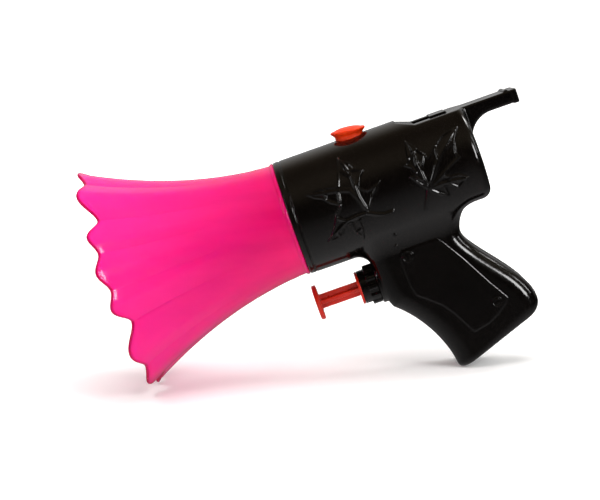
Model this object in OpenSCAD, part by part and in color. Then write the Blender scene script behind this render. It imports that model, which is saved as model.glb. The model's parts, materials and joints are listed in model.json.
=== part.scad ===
// Water squirter whistle: a pump squirter with a flower bell at the front and a mouth whistle at the back.
// Every piece is drawn along the barrel, with the bell joint at the origin and X towards the mouthpiece.
// stand() then tips the whole object onto its bell rim and the toe of its grip, as it stands on a table.

/* [Barrel] */
// Outer diameter of the barrel
barrel_d = 42.6; // [38:0.2:50]
// Length from the bell joint to the rear wall
barrel_len = 70.8; // [64:0.2:84]
// Wall thickness of the two moulded shells
wall = 1.8; // [1.4:0.1:2.4]
// Rounding of the barrel's rear edge
rear_r = 3.2; // [1:0.2:5]
// Rounding of the barrel's front edge
front_r = 0.8; // [0.2:0.1:1.5]
// Distance from the bell joint to the wall that carries the nozzle
bulkhead_x = 8; // [7:0.5:12]

/* [Bell] */
// Length from the joint to the tips of the scallops
bell_len = 67.6; // [50:0.5:85]
// Diameter over the scallops at the mouth
bell_mouth_d = 84; // [70:0.5:95]
// Length of the straight neck
bell_neck = 8; // [5:0.5:14]
// Wall thickness of the bell
bell_wall = 1.4; // [1:0.1:2.2]
// Petals round the mouth, alternately of three scallops and of two
bell_petals = 6; // [4:2:8]
// Depth of the notches between the petals
petal_notch = 4.8; // [1:0.2:7]
// Depth of the notches between the scallops of one petal
scallop_notch = 2.4; // [0.5:0.2:5]
// Depth of the folds at the mouth
fold_depth = 2.2; // [0.5:0.1:4]
// Angle of the first fold above the left side
bell_turn = 42; // [0:1:60]
// Length of the spigot inside the barrel
spigot_len = 6.4; // [4:0.2:6.8]
// Radial gap between spigot and barrel
spigot_gap = 0.1; // [0.05:0.01:0.3]

/* [Grip] */
// Thickness of the grip from side to side
grip_w = 21.6; // [20:0.2:26]
// Rounding of the grip's long edges
grip_edge_r = 6.2; // [3:0.2:8]
// Distance of the grip's front behind the bell joint
grip_front = 22; // [20:0.5:26]
// Position of the web behind the bell joint
web_x = 56.3; // [55:0.5:60]
// Radius of the hollow for the web of the hand
web_r = 8.4; // [5:0.2:9]
// Drop of the hollow's centre below the barrel
web_drop = 2.2; // [1:0.2:4]
// Rounding of the barrel's lower rear corner
tail_r = 5; // [2:0.2:6]
// Drop of the toe below the barrel
toe_drop = 50.9; // [46:0.2:60]
// Position of the toe behind the grip's front
toe_back = 18.6; // [14:0.2:24]
// Length of the butt from toe to heel
butt_len = 38; // [34:0.5:44]
// Slope of the butt against the barrel
butt_tilt = 18.7; // [10:0.1:25]
// Rounding of the toe
toe_r = 1.6; // [1:0.1:3]
// Rounding of the heel
heel_r = 4.6; // [2:0.1:6]
// Rounding of the butt's sides
butt_side_r = 3; // [1:0.1:5]
// Margin round the recessed grip panel
panel_margin = 7.4; // [5:0.2:10]
// Depth of the recessed grip panel
panel_deep = 0.5; // [0.2:0.1:0.8]
// Diameter of the imitation screw heads
screw_d = 5; // [3:0.2:7]
// Height of the imitation screw heads
screw_h = 0.5; // [0.3:0.1:1]

/* [Whistle] */
// Depth of the whistle flat below the top of the barrel
flat_drop = 3; // [2.5:0.1:5]
// Distance from the rear wall to the sharp edge that the air meets
edge_back = 18; // [17:0.5:22]
// Length of the ramp in front of that edge
ramp_len = 6; // [3:0.5:10]
// Length of the open window
window_len = 6.1; // [4:0.1:7]
// Length of the bridge behind the window
bridge_len = 6.3; // [4:0.1:8]
// Height of the bridge above the flat
bridge_h = 0.6; // [0.4:0.1:2]
// Width of the window and bridge
window_w = 12; // [8:0.2:14]
// Width of the windway
windway_w = 9.6; // [6:0.2:11]
// Height of the windway
windway_h = 1.6; // [1.2:0.1:1.8]
// Length of the mouthpiece behind the rear wall
mouth_len = 20.2; // [14:0.2:30]
// Width of the mouthpiece
mouth_w = 15; // [14:0.2:20]
// Height of the mouthpiece
mouth_h = 4.8; // [4.4:0.1:8]
// Radius of the curve under the mouthpiece
mouth_curve = 9.5; // [6:0.5:16]
// Length of the lip at the mouthpiece's end
lip_len = 2; // [1:0.2:4]
// Height of the lip above and below the mouthpiece
lip_h = 0.3; // [0.3:0.1:1.5]
// Depth of the whistle chamber
chamber_deep = 8.6; // [6:0.2:11]
// Wall of the whistle chamber
chamber_wall = 1.2; // [0.8:0.1:1.6]

/* [Filler] */
// Distance of the filler plug behind the bell joint
plug_x = 29.6; // [27:0.5:33]
// Lean of the plug towards the mouthpiece
plug_lean = 6; // [0:1:10]
// Diameter of the plug's body
plug_d = 10.2; // [8:0.2:11]
// Diameter of the plug's flange
plug_flange_d = 12.8; // [12:0.2:15]
// Thickness of the plug's flange
plug_flange_t = 1.5; // [1:0.1:2.5]
// Height of the flange above the barrel
plug_proud = 1.1; // [0.8:0.1:2]
// Depth of the plug below the top of the barrel
plug_deep = 6; // [4:0.2:8]

/* [Pump] */
// Drop of the trigger's axis below the barrel
pump_drop = 11.3; // [10:0.1:14]
// Bore of the pump cylinder
pump_bore = 8; // [7:0.1:8.6]
// Outer diameter of the pump cylinder
pump_d = 10.8; // [10:0.1:11.4]
// Length of the cylinder behind the front of the grip
pump_len = 19; // [17:0.5:20]
// Length of the cylinder in front of the grip
pump_nose = 3.6; // [3:0.1:4.5]
// Diameter of the cylinder's flange
pump_flange_d = 14; // [12:0.2:15]
// Thickness of the flange
pump_flange_t = 1.5; // [1:0.1:2.5]
// How far the trigger travels
trigger_travel = 11; // [8:0.5:11.5]
// Radial gap of sliding and plugged fits
fit = 0.08; // [0.05:0.01:0.1]

/* [Trigger] */
// Diameter of the thumb plate
thumb_d = 13; // [10:0.5:18]
// Thickness of the thumb plate
thumb_t = 1.6; // [1.4:0.1:4]
// Diameter over the stem's ribs
stem_d = 5.4; // [4:0.1:5.8]
// Thickness of the stem's ribs
rib_t = 1.6; // [1:0.1:2.4]
// Length of stem still in front of the bush when the trigger is pressed home
stem_spare = 3.8; // [3:0.1:12]
// Diameter of the red bush's flange
bush_d = 12.2; // [10:0.2:13]
// Thickness of the bush's flange
bush_t = 0.9; // [0.6:0.1:1.6]
// Length of the bush's sleeve
bush_len = 3.2; // [2.6:0.1:3.4]
// Wall of the bush's sleeve
bush_wall = 1; // [0.6:0.1:1]
// Diameter of the gland nut's collar
gland_d = 12.4; // [11.8:0.1:14]
// Diameter over the gland nut's ribs
gland_rib_d = 15; // [14.5:0.1:16]
// Length of the ribbed part
gland_rib_len = 3.6; // [2:0.1:4.5]
// Ribs round the gland nut
gland_ribs = 12; // [6:1:24]
// Thickness of the gland nut's front
gland_front = 2; // [1.4:0.1:3]
// Thickness of the gland seal
seal_t = 0.8; // [0.6:0.1:1.2]
// Length of the piston
piston_len = 3.6; // [3:0.1:4.5]
// Length of the rubber cup on the piston
cup_len = 1.4; // [1:0.1:1.8]
// Wire diameter of the return spring
wire_d = 0.7; // [0.5:0.05:0.8]
// Mean diameter of the return spring
spring_d = 5.8; // [5:0.1:6.2]
// Turns of the return spring
spring_turns = 7; // [5:1:8]

/* [Valves] */
// Diameter of the valve balls
ball_d = 4.4; // [3.6:0.1:4.8]
// Diameter of the holes that the balls close
seat_d = 2.4; // [1.6:0.1:3]
// Lift of the balls
ball_lift = 1.2; // [0.6:0.1:1.6]
// Bore of the valve block
valve_bore = 6; // [5.2:0.1:6.4]
// Outer diameter of the valve block
valve_d = 10; // [9:0.1:10.6]
// Thickness of fitting flanges
fit_flange_t = 1; // [0.6:0.1:2]
// Length of the hose barbs
barb_len = 4.6; // [3:0.1:6]
// Diameter of the water passages
passage_d = 2; // [1.2:0.1:2.4]
// Outer diameter of the hoses
hose_d = 5.2; // [4.6:0.1:6]
// Bore of the hoses
hose_bore = 3.8; // [3.2:0.1:4]
// Bend radius of the delivery hose
hose_bend = 12; // [9:0.5:13]
// Gap under the dip tube
dip_gap = 3.4; // [2:0.2:8]

/* [Nozzle] */
// Diameter of the nozzle's body
nozzle_d = 7; // [5.6:0.2:9]
// Diameter of the nozzle's flange
nozzle_flange_d = 13; // [10:0.5:18]
// Thickness of the nozzle's flange
nozzle_flange_t = 2; // [1:0.1:3]
// Diameter of the nozzle's tip
nozzle_tip_d = 5.6; // [3:0.1:6]
// Length of the nozzle's tip
nozzle_tip_len = 4.4; // [2:0.1:5]
// Diameter of the jet
jet_d = 1.2; // [0.6:0.1:1.6]

/* [Locating pins] */
// Diameter of the locating pins
pin_d = 2.4; // [1.6:0.1:3]
// Length of the pins
pin_len = 3; // [2:0.2:5]
// Wall of the bosses round the pins
boss_wall = 1.4; // [1:0.1:2]

/* [Hidden] */
$fn = 64;
far = 200;
cut = 0.5;
hair = 0.02;
barrel_r = barrel_d / 2;
flat_z = barrel_r - flat_drop;
roof_z = flat_z - wall;
inner_x = barrel_len - wall;
edge_x = barrel_len - edge_back;
bridge_x = edge_x + window_len;
pump_z = -barrel_r - pump_drop;
web_z = -barrel_r - web_drop;
tail_z = web_z + web_r;
boss_r = pin_d / 2 + boss_wall;

// Grip outline: the butt runs along butt_dir from the toe, and butt_out points out of it
butt_dir = [cos(butt_tilt), sin(butt_tilt)];
butt_out = [sin(butt_tilt), -cos(butt_tilt)];
toe = [grip_front + toe_back, -barrel_r - toe_drop];
heel = toe + butt_len * butt_dir;
strap_top = [grip_front + 2.6, pump_z - 9.8];
strap_end = toe - toe_r * butt_out;
back_end = heel - heel_r * butt_out;
// The fillet under the barrel ends just above the gland nut
fillet_r = pump_drop - gland_rib_d / 2 - 0.2;
fillet_end = [grip_front - 0.1, -barrel_r - fillet_r];
fillet_mid = fillet_end - [fillet_r, 0];
front_upper = [fillet_end, fillet_end - [0, 4], [grip_front, pump_z - 5], strap_top];
front_lower = [strap_top, strap_top + [6.4, -5.2], strap_end + [-1.4, 12], strap_end];
back_upper = [[web_x + 0.6, -barrel_r / 2], [web_x + 0.4, -barrel_r / 2 - 4],
    [web_x, web_z + 4], [web_x, web_z]];
back_lower = [[web_x, web_z], [web_x + 0.2, web_z - 8], back_end + [-0.4, 10.6], back_end];

function bez(p, t) = pow(1 - t, 3) * p[0] + 3 * t * pow(1 - t, 2) * p[1]
    + 3 * t * t * (1 - t) * p[2] + pow(t, 3) * p[3];
function slope(p, t) = pow(1 - t, 2) * (p[1] - p[0]) + 2 * t * (1 - t) * (p[2] - p[1])
    + t * t * (p[3] - p[2]);
// Unit vector to the left of a curve that runs down the grip
function side(p, t) = let (d = slope(p, t)) [-d[1], d[0]] / norm(d);

// One grip section is [front point, back point, half width, edge rounding], moved in by inset
function grip_section(f, b, t, inset) = [bez(f, t) + inset * side(f, t), bez(b, t) - inset * side(b, t),
    grip_w / 2 - inset, max(grip_edge_r - inset, 1)];
function butt_section(a, inset) = let (
        rt = max(toe_r - inset, 0.2),
        rh = max(heel_r - inset, 0.4),
        rs = max(butt_side_r - inset, 0.4))
    [toe + inset * (butt_dir - butt_out) - butt_out * rt * (1 - sin(a)) + butt_dir * rt * (1 - cos(a)),
     heel - inset * (butt_dir + butt_out) - butt_out * rh * (1 - sin(a)) - butt_dir * rh * (1 - cos(a)),
     grip_w / 2 - inset - rs * (1 - cos(a)),
     max(grip_edge_r - inset - rs * (1 - cos(a)) / 2, 1)];
// The sections of the fillet share the upper half of the back's curve
function fillet_section(a, inset) = let (t = a / 180)
    [fillet_mid + (fillet_r + inset) * [sin(a), cos(a)], bez(back_upper, t) - inset * side(back_upper, t),
     grip_w / 2 - inset, max(grip_edge_r - inset, 1)];
function top_section(inset) = let (s = fillet_section(0, inset))
    [[s[0][0] + inset, -barrel_r / 2], s[1] + [0, barrel_r / 4], s[2], s[3]];
function upper_section(t, inset) = let (b = 0.5 + t / 2)
    [bez(front_upper, t) + inset * side(front_upper, t), bez(back_upper, b) - inset * side(back_upper, b),
     grip_w / 2 - inset, max(grip_edge_r - inset, 1)];
function grip_sections(inset) = concat(
    [top_section(inset)],
    [for (a = [0:22.5:67.5]) fillet_section(a, inset)],
    [for (t = [0:0.25:0.75]) upper_section(t, inset)],
    [for (t = [0:0.125:0.9]) grip_section(front_lower, back_lower, t, inset)],
    [for (a = [0:30:90]) butt_section(a, inset)]);

edge_steps = 5;
function section_ring(s) = let (
        mid = (s[0] + s[1]) / 2,
        half = norm(s[1] - s[0]) / 2,
        dir = (s[1] - s[0]) / norm(s[1] - s[0]),
        r = s[3])
    [for (q = [0:3], i = [0:edge_steps]) let (
            a = 90 * q + 90 * i / edge_steps,
            u = (q == 0 || q == 3 ? 1 : -1) * (half - r) + r * cos(a),
            v = (q < 2 ? 1 : -1) * (s[2] - r) + r * sin(a))
        [mid[0] + u * dir[0], v, mid[1] + u * dir[1]]];

// Solid through a list of rings that all have the same number of points
module loft(rings) {
    n = len(rings[0]);
    m = len(rings);
    points = [for (r = rings) for (p = r) p];
    sides = [for (j = [0:m - 2], i = [0:n - 1]) let (k = (i + 1) % n)
        each [[j * n + i, j * n + k, (j + 1) * n + i], [j * n + k, (j + 1) * n + k, (j + 1) * n + i]]];
    first = [for (i = [1:n - 2]) [0, i + 1, i]];
    last = [for (i = [1:n - 2]) [(m - 1) * n, (m - 1) * n + i, (m - 1) * n + i + 1]];
    polyhedron(concat(points), concat(sides, first, last));
}

// Bell: radius and length follow the petals and scallops round the mouth
bell_steps = 4;
petal_angle = 360 / bell_petals;
scallops = [for (p = [0:bell_petals - 1]) p % 2 == 0 ? 2 : 3];
bell_angles = [for (p = [0:bell_petals - 1]) let (n = scallops[p] * 2 * bell_steps)
    each [for (i = [0:n - 1]) [bell_turn + petal_angle * (p + i / n), i / n, scallops[p]]]];
// Share of the notch at a place in its petal: 1 at a fold, 0 at a crest
function fold(q) = pow(0.5 + 0.5 * cos(360 * q), 5);
function pleat(q, n) = 0.5 + 0.5 * cos(360 * n * q);
function mouth_x(q, n) = bell_len - scallop_notch * pleat(q, n) - (petal_notch - scallop_notch) * fold(q);
function flare(s) = 0.36 * s + 0.64 * s * s;
neck_r = barrel_r - 0.1;
mouth_r = bell_mouth_d / 2;
function bell_r(x, q, n) = let (s = max(0, x - bell_neck) / (bell_len - bell_neck))
    neck_r + (mouth_r - neck_r) * flare(s)
    - fold_depth * pow(s, 1.6) * max(fold(q), 0.55 * pleat(q, n));
rows = [0, 0.12, 0.26, 0.4, 0.54, 0.68, 0.8, 0.9, 1];
function bell_point(x, r, a) = [-x, -r * cos(a), r * sin(a)];
function outer_x(s, e) = bell_neck + s * (mouth_x(e[1], e[2]) - bell_neck);
spigot_r = barrel_r - wall - spigot_gap;
function bell_ring(e) = concat(
    [bell_point(-spigot_len, spigot_r - bell_wall, e[0]), bell_point(-spigot_len, spigot_r, e[0]),
     bell_point(hair, spigot_r, e[0]), bell_point(hair, neck_r, e[0])],
    [for (s = rows) let (x = outer_x(s, e)) bell_point(x, bell_r(x, e[1], e[2]), e[0])],
    [for (j = [len(rows) - 1:-1:0]) let (x = outer_x(rows[j], e))
        bell_point(x, bell_r(x, e[1], e[2]) - bell_wall * (1 + 0.14 * rows[j]), e[0])],
    [bell_point(bell_neck - 3, spigot_r - bell_wall, e[0])]);

// Pose: the floor touches the lowest scallop and the rounding of the toe
toe_mid = toe + toe_r * (butt_dir - butt_out);
rim = [for (e = bell_angles) let (x = mouth_x(e[1], e[2])) [-x, bell_r(x, e[1], e[2]) * sin(e[0])]];
function floor_angle(p) = let (d = toe_mid - p) atan2(d[1], d[0]) - asin(toe_r / norm(d));
pitch = -max([for (p = rim) floor_angle(p)]);
function tip_x(p) = p[0] * cos(pitch) - p[1] * sin(pitch);
function tip_z(p) = p[0] * sin(pitch) + p[1] * cos(pitch);
floor_z = tip_z(toe_mid) - toe_r;
left_x = min([for (p = rim) tip_x(p)]);
right_x = max([for (a = [0:30:90]) tip_x(butt_section(a, 0)[1])]);

module stand() {
    translate([-(left_x + right_x) / 2, 0, -floor_z])
        rotate([0, -pitch, 0])
            children();
}

// Turned piece along the barrel: profile points are [distance behind the joint, radius]
module turned(profile) {
    rotate([0, 90, 0])
        rotate_extrude()
            polygon([for (p = profile) [p[1], p[0]]]);
}

module rod(x0, x1, d) {
    translate([x0, 0, 0])
        rotate([0, 90, 0])
            cylinder(d = d, h = x1 - x0);
}

module upright(z0, z1, d) {
    translate([0, 0, z0])
        cylinder(d = d, h = z1 - z0);
}

// Side outline pushed out to a width across the barrel
module across(width) {
    rotate([90, 0, 0])
        linear_extrude(width, center = true)
            children();
}

module at_pump() {
    translate([0, 0, pump_z])
        children();
}

module barrel_form(r, x0, x1, edge0, edge1) {
    rotate([0, 90, 0])
        rotate_extrude()
            union() {
                translate([0, x0])
                    square([r - edge0, x1 - x0 - edge1]);
                translate([0, x0 + edge0])
                    square([r, x1 - x0 - edge0 - edge1]);
                translate([0, x0 + edge0])
                    square([r - edge1, x1 - x0 - edge0]);
                translate([r - edge0, x0 + edge0])
                    circle(edge0);
                translate([r - edge1, x1 - edge1])
                    circle(edge1);
            }
}

// Everything above the whistle flat, with grow added all round
module above_flat(grow) {
    polygon([[edge_x - ramp_len - grow, barrel_r + far], [edge_x - ramp_len - grow, barrel_r - 0.6 - grow],
        [edge_x - grow, flat_z - grow], [barrel_len + far, flat_z - grow],
        [barrel_len + far, barrel_r + far]]);
}

// Everything behind the web and under the tail, with grow added all round
module under_tail(grow) {
    translate([web_x + web_r, web_z])
        circle(web_r + grow);
    translate([web_x + web_r, -far])
        square([far, far + tail_z + grow]);
    translate([web_x - grow, -far])
        square([far, far + web_z]);
    difference() {
        translate([barrel_len - tail_r - grow, tail_z - cut])
            square([far, tail_r + grow + cut]);
        translate([barrel_len - tail_r - grow, tail_z + tail_r + grow])
            circle(tail_r);
    }
}

module mouth_side() {
    difference() {
        translate([inner_x, flat_z - mouth_h - mouth_curve])
            square([mouth_len + wall, mouth_h + mouth_curve]);
        translate([barrel_len + mouth_curve, flat_z - mouth_h - mouth_curve])
            circle(mouth_curve);
        translate([barrel_len + mouth_curve, flat_z - mouth_h - mouth_curve - cut])
            square([far, mouth_curve + cut]);
    }
}

module mouthpiece_form() {
    lip_w = mouth_w + 2 * lip_h;
    across(mouth_w)
        mouth_side();
    translate([barrel_len + mouth_len - lip_len, -lip_w / 2, flat_z - mouth_h - lip_h])
        cube([lip_len, lip_w, mouth_h + lip_h]);
}

module plug_place() {
    translate([plug_x, 0, barrel_r])
        rotate([0, plug_lean, 0])
            children();
}

// Grip panel outline, set in from the front, the back and the butt
module panel_side() {
    steps = [0.05:0.15:0.8];
    front = [for (t = steps) bez(front_lower, t) + panel_margin * side(front_lower, t)];
    back = [for (t = steps) bez(back_lower, t) - panel_margin * side(back_lower, t)];
    polygon(concat(front, [for (i = [len(back) - 1:-1:0]) back[i]]));
}

screw_spots = [[grip_front + 13.3, pump_z + 6], heel + [-16.8, 6.7]];

module imitation_screws() {
    for (p = screw_spots, s = [-1, 1])
        translate([p[0], s * (grip_w / 2 + screw_h), p[1]])
            rotate([s * 90, 0, 0])
                difference() {
                    cylinder(d = screw_d, h = screw_h + panel_deep + 1);
                    translate([-screw_d, -0.4, -1])
                        cube([screw_d * 2, 0.8, 1.4]);
                }
}

module body_form() {
    difference() {
        barrel_form(barrel_r, 0, barrel_len, front_r, rear_r);
        across(far)
            above_flat(0);
        across(far)
            under_tail(0);
    }
    difference() {
        loft([for (s = grip_sections(0)) section_ring(s)]);
        for (s = [-1, 1])
            translate([0, s * (grip_w / 2 - panel_deep + far / 2), 0])
                across(far)
                    panel_side();
    }
    imitation_screws();
    mouthpiece_form();
    at_pump()
        rod(grip_front - 0.2, grip_front + 6, gland_rib_d + 1);
}

pin_spots = [[bulkhead_x + 8, barrel_r - 8.4], [bulkhead_x + 8, -barrel_r + 8.4],
    [barrel_len - 9, tail_z + 7.6], heel + [-17.4, 5], [grip_front + 12.6, pump_z - pump_d / 2 - 8]];

// What stays standing inside the hollow: bosses, cradles and the filler's neck
module inner_works() {
    for (p = pin_spots)
        translate([p[0], 0, p[1]])
            rotate([90, 0, 0])
                cylinder(r = boss_r, h = far, center = true);
    at_pump()
        difference() {
            translate([grip_front + pump_len - 9, -far / 2, -pump_d / 2 - 2])
                cube([wall, far, pump_d + 4]);
            rod(grip_front, grip_front + pump_len, pump_d + 2 * fit);
        }
    plug_place()
        upright(-plug_deep + 1, 0, plug_d + 2 * wall);
}

module hollow() {
    difference() {
        union() {
            difference() {
                barrel_form(barrel_r - wall, bulkhead_x + wall, inner_x, 0.4, max(rear_r - wall, 0.4));
                across(far)
                    above_flat(wall);
                across(far)
                    under_tail(wall);
            }
            loft([for (s = grip_sections(wall)) section_ring(s)]);
        }
        inner_works();
    }
}

chamber_w = window_w + 1.6;

module shell_form() {
    difference() {
        body_form();
        hollow();
        rod(-cut, bulkhead_x, barrel_d - 2 * wall);
        rod(0, bulkhead_x + wall + cut, nozzle_d + 2 * fit);
        at_pump()
            rod(0, grip_front + 8, pump_d + 2 * fit);
        plug_place()
            upright(-plug_deep, barrel_r, plug_d + 2 * fit);
        translate([edge_x, -window_w / 2, roof_z - cut])
            cube([window_len + bridge_len, window_w, far]);
        translate([inner_x - cut, -windway_w / 2, roof_z - windway_h])
            cube([mouth_len + wall + 2 * cut, windway_w, windway_h]);
    }
}

module near_shell() {
    color("#1a1a1c") stand() difference() {
        shell_form();
        translate([-far, 0, -far])
            cube(2 * far);
        for (p = pin_spots)
            translate([p[0], cut, p[1]])
                rotate([90, 0, 0])
                    cylinder(d = pin_d + 2 * fit, h = pin_len + 2 * cut);
    }
}

module far_shell() {
    color("#202024") stand() {
        difference() {
            shell_form();
            translate([-far, -2 * far, -far])
                cube(2 * far);
        }
        for (p = pin_spots)
            translate([p[0], cut, p[1]])
                rotate([90, 0, 0])
                    cylinder(d = pin_d, h = pin_len + cut);
    }
}

module bell() {
    rings = [for (e = bell_angles) bell_ring(e)];
    n = len(rings[0]);
    m = len(rings);
    points = [for (r = rings) for (p = r) p];
    faces = [for (j = [0:m - 1], i = [0:n - 1]) let (k = (i + 1) % n, l = (j + 1) % m)
        each [[j * n + i, l * n + i, j * n + k], [j * n + k, l * n + i, l * n + k]]];
    color("#ff2a86") stand()
        polyhedron(points, faces);
}

module nozzle() {
    back = bulkhead_x + wall + 2.4;
    front = bulkhead_x - hair - nozzle_flange_t;
    color("#2b2b2e") stand() difference() {
        union() {
            rod(front - nozzle_tip_len, front + cut, nozzle_tip_d);
            rod(front, bulkhead_x - hair, nozzle_flange_d);
            rod(bulkhead_x - cut, back, nozzle_d);
            rod(back - cut, back + barb_len, hose_bore - 2 * fit);
        }
        rod(front - nozzle_tip_len - cut, back, jet_d);
        rod(front, back + barb_len + cut, passage_d);
    }
}

valve_x = grip_front + pump_len + 1.9 + valve_d / 2;
seat_in = sqrt(pow(ball_d / 2, 2) - pow(seat_d / 2, 2));
pump_back = grip_front + pump_len;
pump_stop = grip_front + wall + 3.2;
in_seat_z = pump_z - passage_d / 2 - 1.6 - ball_lift - ball_d / 2 - seat_in;
out_seat_z = pump_z + passage_d / 2 + 2.4;
cap_z = out_seat_z + seat_in + ball_d / 2 + ball_lift + 0.1;
block_low = in_seat_z - 3;
block_top = cap_z + 3;

module at_valve() {
    translate([valve_x, 0, 0])
        children();
}

module pump_cylinder() {
    color("#e9e6dc") stand() at_pump() difference() {
        union() {
            rod(grip_front - pump_nose, pump_back, pump_d);
            rod(pump_stop, pump_stop + pump_flange_t, pump_flange_d);
        }
        rod(grip_front - pump_nose - cut, pump_back + cut, pump_bore);
    }
}

module pump_head() {
    color("#dedbd0") stand() difference() {
        union() {
            at_pump()
                rod(pump_back - 2.4, valve_x, pump_d + 2.6);
            at_valve()
                upright(block_low, block_top, valve_d);
        }
        at_pump()
            rod(pump_back - 3, pump_back + hair, pump_d + 2 * fit);
        at_pump()
            rod(pump_back - cut, valve_x, passage_d);
        difference() {
            at_valve()
                upright(block_low - cut, block_top + cut, valve_bore);
            at_valve()
                upright(out_seat_z - 1.4, out_seat_z, valve_d);
            translate([valve_x - 0.5, -valve_d / 2, pump_z - passage_d / 2 - 1.5])
                cube([1, valve_d, 1]);
        }
        at_valve()
            upright(pump_z, out_seat_z + cut, seat_d);
    }
}

module inlet_fitting() {
    low = block_low - hair - fit_flange_t;
    color("#c9c5b8") stand() at_valve() difference() {
        union() {
            upright(block_low - hair - cut, in_seat_z, valve_bore - 2 * fit);
            upright(low, block_low - hair, valve_d);
            upright(low - barb_len, low + cut, hose_bore - 2 * fit);
        }
        upright(low - barb_len - cut, in_seat_z - 1, passage_d);
        upright(in_seat_z - 1.2, in_seat_z + cut, seat_d);
    }
}

module outlet_cap() {
    high = block_top + hair + fit_flange_t;
    color("#c9c5b8") stand() at_valve() difference() {
        union() {
            upright(cap_z, block_top + hair + cut, valve_bore - 2 * fit);
            upright(block_top + hair, high, valve_d);
            upright(high - cut, high + barb_len, hose_bore - 2 * fit);
        }
        upright(cap_z - cut, high + barb_len + cut, passage_d);
        translate([-0.6, -valve_d, cap_z - cut])
            cube([1.2, 2 * valve_d, 1.3]);
    }
}

module inlet_ball() {
    color("#b9bcc0") stand() at_valve()
        translate([0, 0, in_seat_z + seat_in + hair])
            sphere(d = ball_d);
}

module outlet_ball() {
    color("#b9bcc0") stand() at_valve()
        translate([0, 0, out_seat_z + seat_in + hair])
            sphere(d = ball_d);
}

module dip_tube() {
    low = block_low - 2 * hair - fit_flange_t;
    floor_here = toe[1] + (valve_x - toe[0]) * tan(butt_tilt) + wall / cos(butt_tilt);
    color("#cfd8da") stand() at_valve() difference() {
        upright(floor_here + dip_gap, low, hose_d);
        upright(floor_here + dip_gap - cut, low + cut, hose_bore);
    }
}

// Delivery hose: up from the outlet cap, round one bend and forward to the nozzle
module hose_form(d, over) {
    from_z = block_top + 2 * hair + fit_flange_t;
    to_x = bulkhead_x + wall + 2.4 + hair;
    path = concat([[valve_x, from_z - over, 0]],
        [for (a = [0:15:90]) [valve_x - hose_bend * (1 - cos(a)), hose_bend * (sin(a) - 1), a]],
        [[to_x - over, 0, 90]]);
    loft([for (p = path)
        [for (k = [0:15]) let (u = d / 2 * cos(22.5 * k), v = -d / 2 * sin(22.5 * k))
            [p[0] + u * cos(p[2]), v, p[1] + u * sin(p[2])]]]);
}

module delivery_tube() {
    color("#cfd8da") stand() difference() {
        hose_form(hose_d, 0);
        hose_form(hose_bore, cut);
    }
}

nose_x = grip_front - pump_nose;
gland_x = nose_x - seal_t - 2 * hair - gland_front;
bush_x = gland_x - hair - bush_t;
piston_x = gland_x + bush_len + 0.2;
thumb_x = bush_x - stem_spare - trigger_travel;
spring_x = piston_x + piston_len + 0.15;

module gland_nut() {
    rear = grip_front - 0.2 - hair;
    rib_x = rear - gland_rib_len;
    color("#17171a") stand() at_pump() difference() {
        union() {
            rod(gland_x, rear, gland_d);
            rod(rib_x, rear, gland_rib_d - 0.8);
            for (i = [0:gland_ribs - 1])
                rotate([360 * (i + 0.5) / gland_ribs, 0, 0])
                    translate([rib_x, gland_rib_d / 2 - 1.2, -0.7])
                        cube([gland_rib_len, 1.2, 1.4]);
        }
        rod(gland_x - cut, rear, 2 * sleeve_r + 2 * fit);
        rod(gland_x + gland_front, rear + cut, pump_d + 2 * fit);
    }
}

sleeve_r = stem_d / 2 + fit + bush_wall;

module gland_seal() {
    color("#3a3a3c") stand() at_pump() difference() {
        rod(gland_x + gland_front + hair, nose_x - hair, pump_d - 0.2);
        rod(gland_x, nose_x + cut, 2 * sleeve_r + 2 * fit);
    }
}

module stem_bush() {
    color("#d8301c") stand() at_pump() difference() {
        union() {
            rod(bush_x, gland_x - hair, bush_d);
            rod(bush_x, gland_x + bush_len, 2 * sleeve_r);
        }
        rod(bush_x - cut, gland_x + bush_len + cut, stem_d + 2 * fit);
    }
}

module trigger() {
    color("#d8301c") stand() at_pump() {
        turned([[thumb_x - thumb_t, 0],
            [thumb_x - thumb_t, thumb_d / 2 - 1.2],
            [thumb_x - thumb_t + 0.4, thumb_d / 2 - 0.4],
            [thumb_x - thumb_t + 1, thumb_d / 2],
            [thumb_x - 0.3, thumb_d / 2],
            [thumb_x, thumb_d / 2 - 0.3],
            [thumb_x, 0]]);
        intersection() {
            rod(thumb_x - cut, piston_x - hair, stem_d);
            union() {
                translate([thumb_x - 1, -rib_t / 2, -stem_d])
                    cube([far, rib_t, 2 * stem_d]);
                translate([thumb_x - 1, -stem_d, -rib_t / 2])
                    cube([far, 2 * stem_d, rib_t]);
            }
        }
        rod(piston_x - 1, piston_x + piston_len - 0.8, rib_t + 1.2);
    }
}

cup_x = piston_x + (piston_len - cup_len) / 2;
piston_d = pump_bore - 0.6;

module piston() {
    core_d = pump_bore - 3.2;
    color("#f1efe6") stand() at_pump() difference() {
        union() {
            rod(piston_x, cup_x, piston_d);
            rod(piston_x, piston_x + piston_len, core_d);
            rod(cup_x + cup_len, piston_x + piston_len, piston_d);
        }
        rod(piston_x - cut, piston_x + piston_len - 0.7, rib_t + 1.2 + 2 * fit);
    }
}

module piston_cup() {
    color("#2e2e30") stand() at_pump() difference() {
        rod(cup_x + hair, cup_x + cup_len - hair, pump_bore - 2 * fit);
        rod(cup_x - cut, cup_x + cup_len + cut, pump_bore - 3.2 + 2 * fit);
    }
}

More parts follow.
